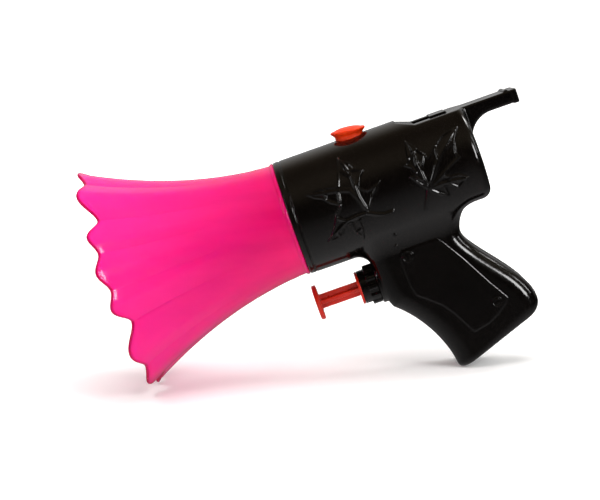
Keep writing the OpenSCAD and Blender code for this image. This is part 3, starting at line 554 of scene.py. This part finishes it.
FRONT_LEAF = dict(
    outline=[
        (26.8, -4.1), (29.7, -2.1), (30.2, 0.4), (32.5, 1.8), (34.8, 5.0), (31.4, 3.7), (29.0, 3.4),
        (27.0, 4.8), (28.3, 7.8), (30.3, 10.2), (27.9, 11.9), (26.5, 14.7), (23.9, 17.2), (23.0, 19.4),
        (22.0, 15.1), (20.5, 11.1), (19.4, 7.9), (16.4, 8.9), (12.6, 9.3), (7.5, 8.6), (10.4, 6.2),
        (12.9, 5.0), (15.1, 2.7), (17.8, 1.0), (15.6, -1.2), (14.0, -4.8), (11.8, -8.1), (9.3, -10.6),
        (12.9, -10.8), (16.1, -9.9), (17.3, -7.3), (19.5, -6.4), (19.8, -10.1), (22.6, -15.1),
        (23.5, -10.3), (23.4, -6.8), (25.6, -5.6)],
    veins=[[(27.1, -4.6), (26.0, -1.1), (25.3, 2.1), (25.3, 4.3), (25.4, 8.8), (24.5, 12.9), (23.4, 17.0)],
           [(27.1, -4.6), (25.0, 1.4), (23.2, 4.7), (19.2, 6.1), (13.6, 7.0), (8.8, 8.0)],
           [(27.1, -4.6), (23.0, -4.6), (18.7, -5.0), (14.3, -7.4), (10.7, -9.4)],
           [(27.1, -4.6), (28.9, -1.4), (30.9, 1.2), (33.8, 4.3)],
           [(27.1, -4.6), (24.3, -7.6), (22.6, -12.6)]],
    twigs=[[(25.3, 5.4), (28.3, 7.8)], [(19.2, 6.1), (18.4, 1.8)], [(24.4, 11.6), (28.1, 11.4)],
           [(25.2, 9.5), (22.2, 12.6)], [(15.1, 6.8), (14.4, 8.7)], [(15.1, 6.8), (14.0, 4.6)],
           [(18.7, -5.0), (15.8, -2.9)], [(18.7, -5.0), (17.4, -7.0)], [(14.3, -7.4), (14.6, -10.0)],
           [(23.6, -9.2), (20.8, -10.4)]],
    stem=[(26.6, -4.8), (29.2, -6.2), (32.1, -7.3), (35.1, -7.3)], span=(5.0, 38.0, -18.0, 22.0))
REAR_LEAF = dict(
    outline=[
        (49.1, -4.1), (50.4, -5.8), (52.3, -8.2), (56.1, -9.3), (55.7, -6.6), (55.5, -5.2), (57.4, -6.1),
        (59.9, -7.5), (62.2, -5.9), (64.3, -4.6), (61.2, -2.1), (58.0, -1.7), (56.4, -0.7), (59.7, 1.1),
        (63.8, 3.0), (62.8, 4.8), (63.2, 6.9), (63.5, 8.8), (65.2, 11.7), (66.7, 14.4), (63.0, 13.9),
        (59.8, 13.1), (57.9, 11.7), (55.2, 9.5), (52.6, 7.3), (52.0, 8.7), (50.5, 10.9), (48.7, 14.2),
        (47.2, 16.1), (46.3, 12.6), (45.7, 8.7), (43.4, 6.7), (45.8, 4.9), (46.6, 2.9), (44.1, 2.5),
        (45.9, -0.3), (48.0, -3.0)],
    veins=[[(49.2, -3.8), (48.9, -0.3), (48.3, 5.5), (48.5, 11.3), (47.7, 14.6)],
           [(49.2, -3.8), (51.5, -1.2), (54.4, 3.0), (56.9, 5.8), (60.2, 8.8), (65.0, 13.1)],
           [(49.2, -3.8), (53.0, -2.1), (57.6, 0.4), (62.4, 2.7)],
           [(49.2, -3.8), (54.0, -3.6), (59.1, -4.0), (63.0, -4.6)],
           [(49.2, -3.8), (52.1, -6.5), (55.2, -8.5)]],
    twigs=[[(55.9, 5.0), (56.3, 10.3)], [(49.0, 3.4), (51.2, 7.6)], [(58.6, 7.5), (62.9, 8.6)],
           [(48.2, 8.6), (46.2, 9.4)], [(48.4, 10.0), (49.9, 11.2)], [(48.9, -0.3), (45.2, 2.2)],
           [(56.0, -3.8), (58.4, -2.2)], [(56.0, -3.8), (59.2, -6.6)], [(56.9, -0.1), (60.4, 1.0)]],
    stem=[(49.1, -4.1), (47.9, -6.9), (46.4, -10.6)], span=(41.0, 69.0, -13.0, 19.0))


LEAF_SINK, BLADE_RISE, RIM_RISE, STEM_RISE = 0.14, 0.32, 0.42, 0.95
LEAF_UNDER, LEAF_EDGE = 0.5, -0.12


def leaf_height(shape, x, s):
    """Height of one leaf above the barrel: raised blade, rimmed edge, veins and a round stem."""
    d = -polygon_distance(x, s, np.array(shape["outline"]))
    rise = np.clip(d / 0.5, 0, 1)
    h = -LEAF_SINK + BLADE_RISE * rise * rise * (3 - 2 * rise)
    h = h + RIM_RISE * np.exp(-((d - 0.5) / 0.45) ** 2)
    ridge = np.zeros_like(h)
    for lines, high, wide in ((shape["veins"], 0.62, 0.6), (shape["twigs"], 0.5, 0.5)):
        for line in lines:
            ridge = np.maximum(ridge, high * np.exp(-(line_distance(x, s, np.array(line)) / wide) ** 2))
    h = np.maximum(h, (0.18 + ridge) * np.clip(d / 0.4, 0, 1) - LEAF_SINK * (d < 0.4))
    stem = np.exp(-(line_distance(x, s, np.array(shape["stem"])) / 0.7) ** 2)
    return np.maximum(h, -LEAF_SINK + STEM_RISE * stem)


def relief(name, shape, side, spacing=0.17):
    """Thin closed skin that stands out of the barrel where the height is above zero."""
    x0, x1, s0, s1 = shape["span"]
    xs, ss = np.arange(x0, x1, spacing), np.arange(s0, s1, spacing)
    h = leaf_height(shape, xs[:, None], ss[None, :])
    h[1:-1, 1:-1] = (4 * h[1:-1, 1:-1] + h[:-2, 1:-1] + h[2:, 1:-1] + h[1:-1, :-2] + h[1:-1, 2:]) / 8
    live = h > LEAF_EDGE
    cell = live[:-1, :-1] | live[1:, :-1] | live[:-1, 1:] | live[1:, 1:]
    cell[0], cell[-1], cell[:, 0], cell[:, -1] = False, False, False, False
    theta = ss[None, :] / BARREL_R

    def skin(r):
        x = np.broadcast_to(xs[:, None], h.shape)
        return np.stack([x, -side * r * np.cos(theta), r * np.sin(theta)], -1).reshape(-1, 3)

    top, under = skin(BARREL_R + h), skin(np.full(h.shape, BARREL_R - LEAF_UNDER))
    n, count = h.shape[1], h.size
    i, j = np.nonzero(cell)
    a, b, c, d = i * n + j, (i + 1) * n + j, (i + 1) * n + j + 1, i * n + j + 1
    faces = [np.stack([a, b, c, d], 1), np.stack([d, c, b, a], 1) + count]
    wide = np.pad(cell, 1)
    for di, dj, e0, e1 in ((0, -1, a, b), (1, 0, b, c), (0, 1, c, d), (-1, 0, d, a)):
        rim = ~wide[i + 1 + di, j + 1 + dj]
        faces.append(np.stack([e1[rim], e0[rim], e0[rim] + count, e1[rim] + count], 1))
    faces = np.concatenate(faces)
    if side < 0:
        faces = faces[:, ::-1]
    used = np.unique(faces)
    number = np.zeros(2 * count, int)
    number[used] = np.arange(len(used))
    return make_mesh(name, np.concatenate([top, under])[used], number[faces])


for side, label in ((1, "near"), (-1, "far")):
    for k, shape in enumerate((FRONT_LEAF, REAR_LEAF)):
        dress(relief("leaf_%s_%d" % (label, k + 1), shape, side), "black_plastic")


# Imitation screw heads and mould pips on the grip

SCREW_RISE, RING_R, SLOT_HALF, PIP_RISE = 0.6, 0.26, 0.36, 0.75


def screw_head(name, x0, z0, r, turn, side):
    """Low round head with a turned ring and a slot, on the raised panel."""
    c, s = math.cos(math.radians(turn)), math.sin(math.radians(turn))

    def field(x, y, z):
        u, v = (x - x0) * c + (z - z0) * s, -(x - x0) * s + (z - z0) * c
        d = np.hypot(u, v)
        out = side * -y - GRIP_HALF - PANEL_RISE
        head = rint(d - r, out - SCREW_RISE + 0.05 * d * d / r, 0.3)
        head = np.maximum(head, -0.8 - out)
        ring = np.hypot(d - r * 0.72, out - SCREW_RISE) - RING_R
        slot = np.maximum(np.abs(v) - SLOT_HALF, 0.1 - out)
        return np.maximum(np.maximum(head, -ring), -np.maximum(slot, d - r * 0.7))

    lines = np.arange(-r - 0.6, r + 0.61, 0.13)
    ys = np.sort(side * -(GRIP_HALF + PANEL_RISE + steps((-1.2, -0.2, 0.25), (-0.2, 1.1, 0.11))))
    return make_mesh(name, *surface_net(field, x0 + lines, ys, z0 + lines))


def surface_out(x, z):
    """Half width of the body at a point of its side."""
    lo, hi = 0.0, 24.0
    for _ in range(30):
        mid = (lo + hi) / 2
        if detailed_body(np.array(x), np.array(mid), np.array(z)) < 0:
            lo = mid
        else:
            hi = mid
    return lo


def pip(name, x0, z0, r, side):
    """Small flattened ball, half sunk in the body's side."""
    y0 = surface_out(x0, z0)
    rings, cols = 8, 16
    pts = [[x0, -side * (y0 + PIP_RISE * r), z0]]
    for i in range(1, rings):
        a = math.pi * i / rings
        for k in range(cols):
            b = 2 * math.pi * k / cols
            pts.append([x0 + r * math.sin(a) * math.cos(b), -side * (y0 + PIP_RISE * r * math.cos(a)),
                        z0 + r * math.sin(a) * math.sin(b)])
    pts.append([x0, -side * (y0 - PIP_RISE * r), z0])
    faces = []
    for k in range(cols):
        m = (k + 1) % cols
        faces.append([0, 1 + k, 1 + m])
        for i in range(rings - 2):
            o = 1 + i * cols
            faces.append([o + k, o + cols + k, o + cols + m, o + m])
        o = 1 + (rings - 2) * cols
        faces.append([o + k, len(pts) - 1, o + m])
    if side < 0:
        faces = [f[::-1] for f in faces]
    return make_mesh(name, pts, faces)


for side, label in ((1, "near"), (-1, "far")):
    dress(screw_head("screw_upper_" + label, 35.2, -25.6, 2.3, 75, side), "black_plastic")
    dress(screw_head("screw_lower_" + label, 60.2, -51.8, 2.0, 20, side), "black_plastic")
    dress(pip("pip_a_" + label, 33.3, -16.1, 0.8, side), "black_plastic")
    dress(pip("pip_b_" + label, 32.4, -20.4, 0.75, side), "black_plastic")


# Turned and ribbed small parts

def lathe(profile, columns=72):
    """Points and faces of a closed turned form; profile is (distance along, radius) from axis to axis."""
    prof = np.array(profile, float)
    t = np.arange(columns) * 2 * np.pi / columns
    inner = prof[1:-1]
    pts = [[prof[0][0], 0, 0]]
    for a, r in inner:
        pts += [[a, r * math.cos(v), r * math.sin(v)] for v in t]
    pts.append([prof[-1][0], 0, 0])
    faces = []
    last = len(pts) - 1
    for k in range(columns):
        m = (k + 1) % columns
        faces.append([0, 1 + m, 1 + k])
        for i in range(len(inner) - 1):
            o = 1 + i * columns
            faces.append([o + k, o + m, o + columns + m, o + columns + k])
        o = 1 + (len(inner) - 1) * columns
        faces.append([o + k, o + m, last])
    return np.array(pts), faces


def rounded(profile, r=0.25, n=4):
    """Profile whose inner corners are rounded."""
    p = np.array(profile, float)
    out = [p[0]]
    for a, b, c in zip(p[:-2], p[1:-1], p[2:]):
        u, v = (a - b) / np.linalg.norm(a - b), (c - b) / np.linalg.norm(c - b)
        k = min(r, 0.45 * np.linalg.norm(a - b), 0.45 * np.linalg.norm(c - b))
        for t in np.linspace(0, 1, n):
            out.append((1 - t) ** 2 * (b + u * k) + 2 * t * (1 - t) * b + t * t * (b + v * k))
    out.append(p[-1])
    return out


def plug_piece():
    """Filler plug: hollow shank, flared head and crowned top inside a fine rim."""
    prof = rounded([
        (-0.3, 0), (-0.3, 3.55), (-6.0, 3.6), (-6.0, 5.05), (-5.0, 5.1), (0.6, 5.1), (1.15, 5.5), (1.6, 6.1),
        (2.1, 6.4), (2.5, 6.4), (2.75, 5.9), (2.62, 5.4), (3.1, 4.4), (3.5, 2.6), (3.65, 0)], 0.3)
    pts, faces = lathe(prof)
    along, side, y = pts[:, 0], pts[:, 1], pts[:, 2]
    c, s = math.cos(PLUG_LEAN), math.sin(PLUG_LEAN)
    place = np.stack([PLUG_X + along * s + side * c, y, BARREL_R + along * c - side * s], 1)
    return make_mesh("plug_head", place, [f[::-1] for f in faces])


dress(plug_piece(), "plug_red", "plug_body", "filler_plug")

THUMB_X, BUSH_X, GLAND_X, PISTON_X = -0.16, 14.64, 15.56, 18.96
THUMB_R, STEM_R, STEM_FIN = 6.5, 2.7, 0.8
GLAND_FRONT_R, GLAND_BACK_R, GLAND_HOLE_R, GLAND_RIBS, RIB_RISE = 6.2, 7.1, 3.86, 12, 0.3
GLAND_SEAT_X, GLAND_STEP_X, GLAND_END = 17.56, 18.2, 21.78
BUSH_R, SLEEVE_R, STEM_HOLE_R = 6.1, 3.78, 2.78


def trigger_field(x, y, z):
    z = z - PUMP_Z
    d = np.hypot(y, z)
    back = x - THUMB_X
    plate = rint(rint(d - THUMB_R, -1.6 - back - 0.02 * (THUMB_R - d), 0.45), back, 0.3)
    upright = rint(np.abs(y) - STEM_FIN, np.abs(z) - 3, 0.2)
    level = rint(np.abs(z) - STEM_FIN, np.abs(y) - 3, 0.2)
    stem = rint(d - STEM_R, np.minimum(upright, level), 0.25)
    stem = np.maximum(stem, np.maximum(-0.8 - back, x - PISTON_X + 0.02))
    s = runi(plate, stem, 0.6)
    tail = np.maximum(d - 1.4, np.maximum(PISTON_X - 1 - x, x - PISTON_X - 2.8))
    return np.minimum(s, tail)


trigger_lines = steps((-7.4, -3.2, 0.28), (-3.2, 3.2, 0.2), (3.2, 7.4, 0.28))
trigger = make_mesh("push_trigger", *surface_net(
    trigger_field, steps((-2.6, 1.0, 0.18), (1.0, 22.6, 0.36)), trigger_lines, PUMP_Z + trigger_lines))
dress(trigger, "red_plastic", "trigger_body", "trigger")


def gland_field(x, y, z):
    z = z - PUMP_Z
    d = np.hypot(y, z)
    turn = np.arctan2(z, y) * GLAND_RIBS / (2 * np.pi)
    rib = RIB_RISE * np.clip(1.6 * np.cos(2 * np.pi * turn), -1, 1)
    front = rint(rint(d - GLAND_FRONT_R, GLAND_X - x, 0.45), x - 19.6, 0.2)
    back = rint(rint(d - GLAND_BACK_R - rib, GLAND_STEP_X - x, 0.35), x - GLAND_END, 0.25)
    s = runi(front, back, 0.3)
    s = np.maximum(s, -np.maximum(d - GLAND_HOLE_R, x - 18.0))
    return np.maximum(s, -np.maximum(d - PUMP_BORE_R, GLAND_SEAT_X - x))


gland_lines = steps((-8.0, 8.0, 0.26))
gland = make_mesh("ribbed_gland", *surface_net(
    gland_field, steps((15.0, 22.4, 0.2)), gland_lines, PUMP_Z + gland_lines))
dress(gland, "black_plastic", replaces="gland_nut")


def bush_field(x, y, z):
    d = np.hypot(y, z - PUMP_Z)
    flange = rint(rint(d - BUSH_R, BUSH_X - x, 0.3), x - GLAND_X + 0.02, 0.15)
    sleeve = np.maximum(d - SLEEVE_R, np.maximum(BUSH_X + 0.2 - x, x - GLAND_X - 3.2))
    return np.maximum(np.minimum(flange, sleeve), STEM_HOLE_R - d)


bush_lines = steps((-6.8, 6.8, 0.26))
bush = make_mesh("guide_bush", *surface_net(
    bush_field, steps((14.2, 15.8, 0.13), (15.8, 19.2, 0.3)), bush_lines, PUMP_Z + bush_lines))
dress(bush, "red_plastic", replaces="stem_bush")

BRIDGE_X, BRIDGE_HALF = EDGE_X + 9.21, 3.11


def bridge_field(x, y, z):
    low, high = FLAT_Z - WALL, FLAT_Z + 0.6
    box = rint(np.abs(x - BRIDGE_X) - BRIDGE_HALF, np.abs(y) - WINDOW_W / 2 + 0.08, 0.25)
    return rint(box, np.abs(z - (low + high) / 2) - (high - low) / 2, 0.3)


bridge = make_mesh("bridge_bar", *surface_net(
    bridge_field, BRIDGE_X + steps((-3.6, 3.6, 0.16)), steps((-6.4, 6.4, 0.2)), steps((16.0, 19.4, 0.15))))
dress(bridge, "black_plastic", replaces="whistle_bridge")


# Return spring: a fine helix

SPRING_FROM, SPRING_TO, SPRING_R, WIRE_R, TRAVEL = 22.71, 40.87, 2.9, 0.35, 11.0


def spring_coil(turns=7, per_turn=48, ring=12):
    """Round wire on a helix whose end turns lie flat."""
    count = turns * per_turn + 1
    t = np.linspace(0, turns, count)
    lead = np.interp(t, [0, 0.8, turns - 0.8, turns], [0, 0.1, 0.9, 1])
    x = SPRING_FROM + WIRE_R + (SPRING_TO - SPRING_FROM - 2 * WIRE_R) * lead
    path = np.stack([x, SPRING_R * np.cos(2 * np.pi * t), PUMP_Z + SPRING_R * np.sin(2 * np.pi * t)], 1)
    ahead = np.gradient(path, axis=0)
    ahead /= np.linalg.norm(ahead, axis=1)[:, None]
    out = np.stack([np.zeros(count), np.cos(2 * np.pi * t), np.sin(2 * np.pi * t)], 1)
    across = np.cross(ahead, out)
    a = np.arange(ring) * 2 * np.pi / ring
    c, s = np.cos(a)[None, :, None], np.sin(a)[None, :, None]
    pts = path[:, None] + WIRE_R * (c * out[:, None] + s * across[:, None])
    faces = []
    for i in range(count - 1):
        for k in range(ring):
            m = (k + 1) % ring
            faces.append([i * ring + k, (i + 1) * ring + k, (i + 1) * ring + m, i * ring + m])
    faces.append(list(range(ring)))
    faces.append(list(range(count * ring - 1, (count - 1) * ring - 1, -1)))
    return make_mesh("coil_spring", pts.reshape(-1, 3), faces)


coil = dress(spring_coil(), "spring_steel", replaces="return_spring")
to_row((SPRING_TO, 0, PUMP_Z)).tolist()
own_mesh(coil)


# Stage, light and camera

def area(name, place, aim, size, power):
    light = bpy.data.lights.new(name, "AREA")
    light.shape = "RECTANGLE"
    light.size, light.size_y = size
    light.energy = power
    obj = bpy.data.objects.new(name, light)
    bpy.context.scene.collection.objects.link(obj)
    obj.location = place
    obj.rotation_euler = (Vector(aim) - Vector(place)).to_track_quat("-Z", "Y").to_euler()
    return obj


def stage_sheet(name, verts, faces, glow_from, glow_to, least=0.0):
    """Matt part of the stage, left out of reflections; it glows paler from glow_from metres outwards."""
    mesh = bpy.data.meshes.new(name)
    mesh.from_pydata(verts, [], faces)
    obj = bpy.data.objects.new(name, mesh)
    bpy.context.scene.collection.objects.link(obj)
    mat = bpy.data.materials.new(name)
    mat.use_nodes = True
    n, link = mat.node_tree.nodes, mat.node_tree.links
    bsdf = n["Principled BSDF"]
    bsdf.inputs["Base Color"].default_value = (0.9, 0.9, 0.9, 1)
    bsdf.inputs["Roughness"].default_value = 0.6
    bsdf.inputs["Specular IOR Level"].default_value = 0.1
    bsdf.inputs["Emission Color"].default_value = (1, 1, 1, 1)
    place = n.new("ShaderNodeTexCoord")
    reach = n.new("ShaderNodeVectorMath")
    reach.operation = "LENGTH"
    span = n.new("ShaderNodeMapRange")
    span.interpolation_type = "SMOOTHSTEP"
    span.inputs["From Min"].default_value = glow_from
    span.inputs["From Max"].default_value = glow_to
    span.inputs["To Min"].default_value = least
    link.new(place.outputs["Object"], reach.inputs[0])
    link.new(reach.outputs["Value"], span.inputs["Value"])
    link.new(span.outputs["Result"], bsdf.inputs["Emission Strength"])
    mesh.materials.append(mat)
    obj.visible_glossy = False
    return obj


FLOOR_HALF, WALL_SIDES, WALL_R, WALL_H = 4, 72, 2.6, 3
GLOW_FROM, GLOW_TO, FLOOR_GLOW = 0.2, 0.7, 0.22
corners = [(x * FLOOR_HALF, y * FLOOR_HALF, 0) for x, y in ((-1, -1), (1, -1), (1, 1), (-1, 1))]
stage_sheet("floor", corners, [(0, 1, 2, 3)], GLOW_FROM, GLOW_TO, FLOOR_GLOW)
around = [math.radians(360 * k / WALL_SIDES) for k in range(WALL_SIDES)]
ring = [(WALL_R * math.sin(a), WALL_R * math.cos(a)) for a in around]
panes = []
for k in range(WALL_SIDES):
    m = (k + 1) % WALL_SIDES
    panes.append((k, m, WALL_SIDES + m, WALL_SIDES + k))
wall_points = [(x, y, z) for z in (0, WALL_H) for x, y in ring]
wall = stage_sheet("pale_wall", wall_points, panes, GLOW_FROM, GLOW_TO)
wall.visible_diffuse = False
wall.visible_shadow = False

# What the gloss reflects, by height of the direction: pale below, dark at eye level, a dim warm panel above
REFLECTED = (
    (-1.0, (0.51, 0.5, 0.5)), (-0.9, (0.44, 0.43, 0.43)), (-0.76, (0.36, 0.35, 0.35)),
    (-0.58, (0.25, 0.245, 0.245)), (-0.377, (0.165, 0.16, 0.16)), (-0.153, (0.05, 0.048, 0.048)),
    (0.0, (0.015, 0.014, 0.013)), (0.33, (0.015, 0.013, 0.01)), (0.5, (0.085, 0.07, 0.05)),
    (0.6, (0.16, 0.13, 0.09)), (0.72, (0.21, 0.17, 0.12)), (0.875, (0.18, 0.14, 0.095)),
    (0.97, (0.09, 0.065, 0.04)), (1.0, (0.07, 0.05, 0.03)))
BACKDROP = 0.5


def studio_world():
    """Dim surroundings: the tones of REFLECTED with a pale backdrop added behind the object."""
    world = bpy.data.worlds.new("studio")
    bpy.context.scene.world = world
    world.use_nodes = True
    n, link = world.node_tree.nodes, world.node_tree.links
    turn = n.new("ShaderNodeTexCoord")
    split = n.new("ShaderNodeSeparateXYZ")
    level = n.new("ShaderNodeMapRange")
    level.inputs["From Min"].default_value = -1.0
    ramp = n.new("ShaderNodeValToRGB")
    stops = ramp.color_ramp.elements
    stops[0].position, stops[0].color = 0.0, REFLECTED[0][1] + (1,)
    stops[1].position, stops[1].color = 1.0, REFLECTED[-1][1] + (1,)
    for height, tone in REFLECTED[1:-1]:
        stops.new((height + 1) / 2).color = tone + (1,)
    behind = n.new("ShaderNodeMapRange")
    behind.interpolation_type = "SMOOTHSTEP"
    behind.inputs["From Min"].default_value = 0.3
    behind.inputs["From Max"].default_value = 0.9
    behind.inputs["To Max"].default_value = BACKDROP
    higher = n.new("ShaderNodeMapRange")
    higher.inputs["From Max"].default_value = 0.12
    share = n.new("ShaderNodeMath")
    share.operation = "MULTIPLY"
    both = n.new("ShaderNodeMix")
    both.data_type, both.blend_type = "RGBA", "ADD"
    both.inputs["B"].default_value = (1, 1, 1, 1)
    link.new(turn.outputs["Generated"], split.inputs["Vector"])
    link.new(split.outputs["Z"], level.inputs["Value"])
    link.new(level.outputs["Result"], ramp.inputs["Fac"])
    link.new(split.outputs["Y"], behind.inputs["Value"])
    link.new(split.outputs["Z"], higher.inputs["Value"])
    link.new(behind.outputs["Result"], share.inputs[0])
    link.new(higher.outputs["Result"], share.inputs[1])
    link.new(share.outputs["Value"], both.inputs["Factor"])
    link.new(ramp.outputs["Color"], both.inputs["A"])
    link.new(both.outputs["Result"], n["Background"].inputs["Color"])


studio_world()

# Lights left out of the gloss, cards that show in the gloss alone, and an edge light that does both
area("fill", (-0.1, 0.0, 1.5), (0, 0, 0.04), (1.6, 1.6), 31).visible_glossy = False
area("low_fill", (-0.25, -0.7, 0.06), (-0.03, 0, 0.03), (0.5, 0.1), 0.5).visible_glossy = False
area("key", (0.6, -0.75, 0.75), (0, 0, 0.05), (0.4, 0.4), 6).visible_glossy = False
CARDS = (
    ("key_card", (0.84, -0.64, 0.45), (0.26, 0.42), 6.0),
    ("back_card", (0.96, -0.03, 0.52), (0.07, 0.34), 0.9),
    ("left_card", (-0.9, -0.42, 0.3), (0.07, 0.55), 0.8))
for name, place, size, power in CARDS:
    area(name, place, (0, 0, 0.05), size, power).visible_diffuse = False
area("edge", (0.72, 0.34, 0.86), (0.0, 0, 0.04), (0.2, 0.3), 2.5)

AZ, EL, ROLL = -0.205, 8.0, -3.824
DIST, AIM_X, AIM_Z = 540.0, -3.574, 46.167
FOCAL, PHOTO_W, SENSOR = 1475.9, 600.0, 36.0


def photo_camera():
    """Camera fitted to the photograph: angles in degrees, lengths in mm, FOCAL and PHOTO_W in pixels."""
    az, el, roll = (math.radians(v) for v in (AZ, EL, ROLL))
    back = Vector((math.sin(az) * math.cos(el), -math.cos(az) * math.cos(el), math.sin(el)))
    right = Vector((math.cos(az), math.sin(az), 0))
    up = back.cross(right)
    r2 = math.cos(roll) * right + math.sin(roll) * up
    u2 = -math.sin(roll) * right + math.cos(roll) * up
    place = Vector((AIM_X, 0, AIM_Z)) * 0.001 + back * DIST * 0.001
    data = bpy.data.cameras.new("photo_camera")
    data.sensor_fit = "HORIZONTAL"
    data.sensor_width = SENSOR
    data.lens = SENSOR * FOCAL / PHOTO_W
    data.clip_start = 0.01
    obj = bpy.data.objects.new("photo_camera", data)
    bpy.context.scene.collection.objects.link(obj)
    obj.matrix_world = Matrix(((r2.x, u2.x, back.x, place.x), (r2.y, u2.y, back.y, place.y),
                               (r2.z, u2.z, back.z, place.z), (0, 0, 0, 1)))
    bpy.context.scene.camera = obj


photo_camera()
bpy.context.scene.view_settings.view_transform = "Standard"
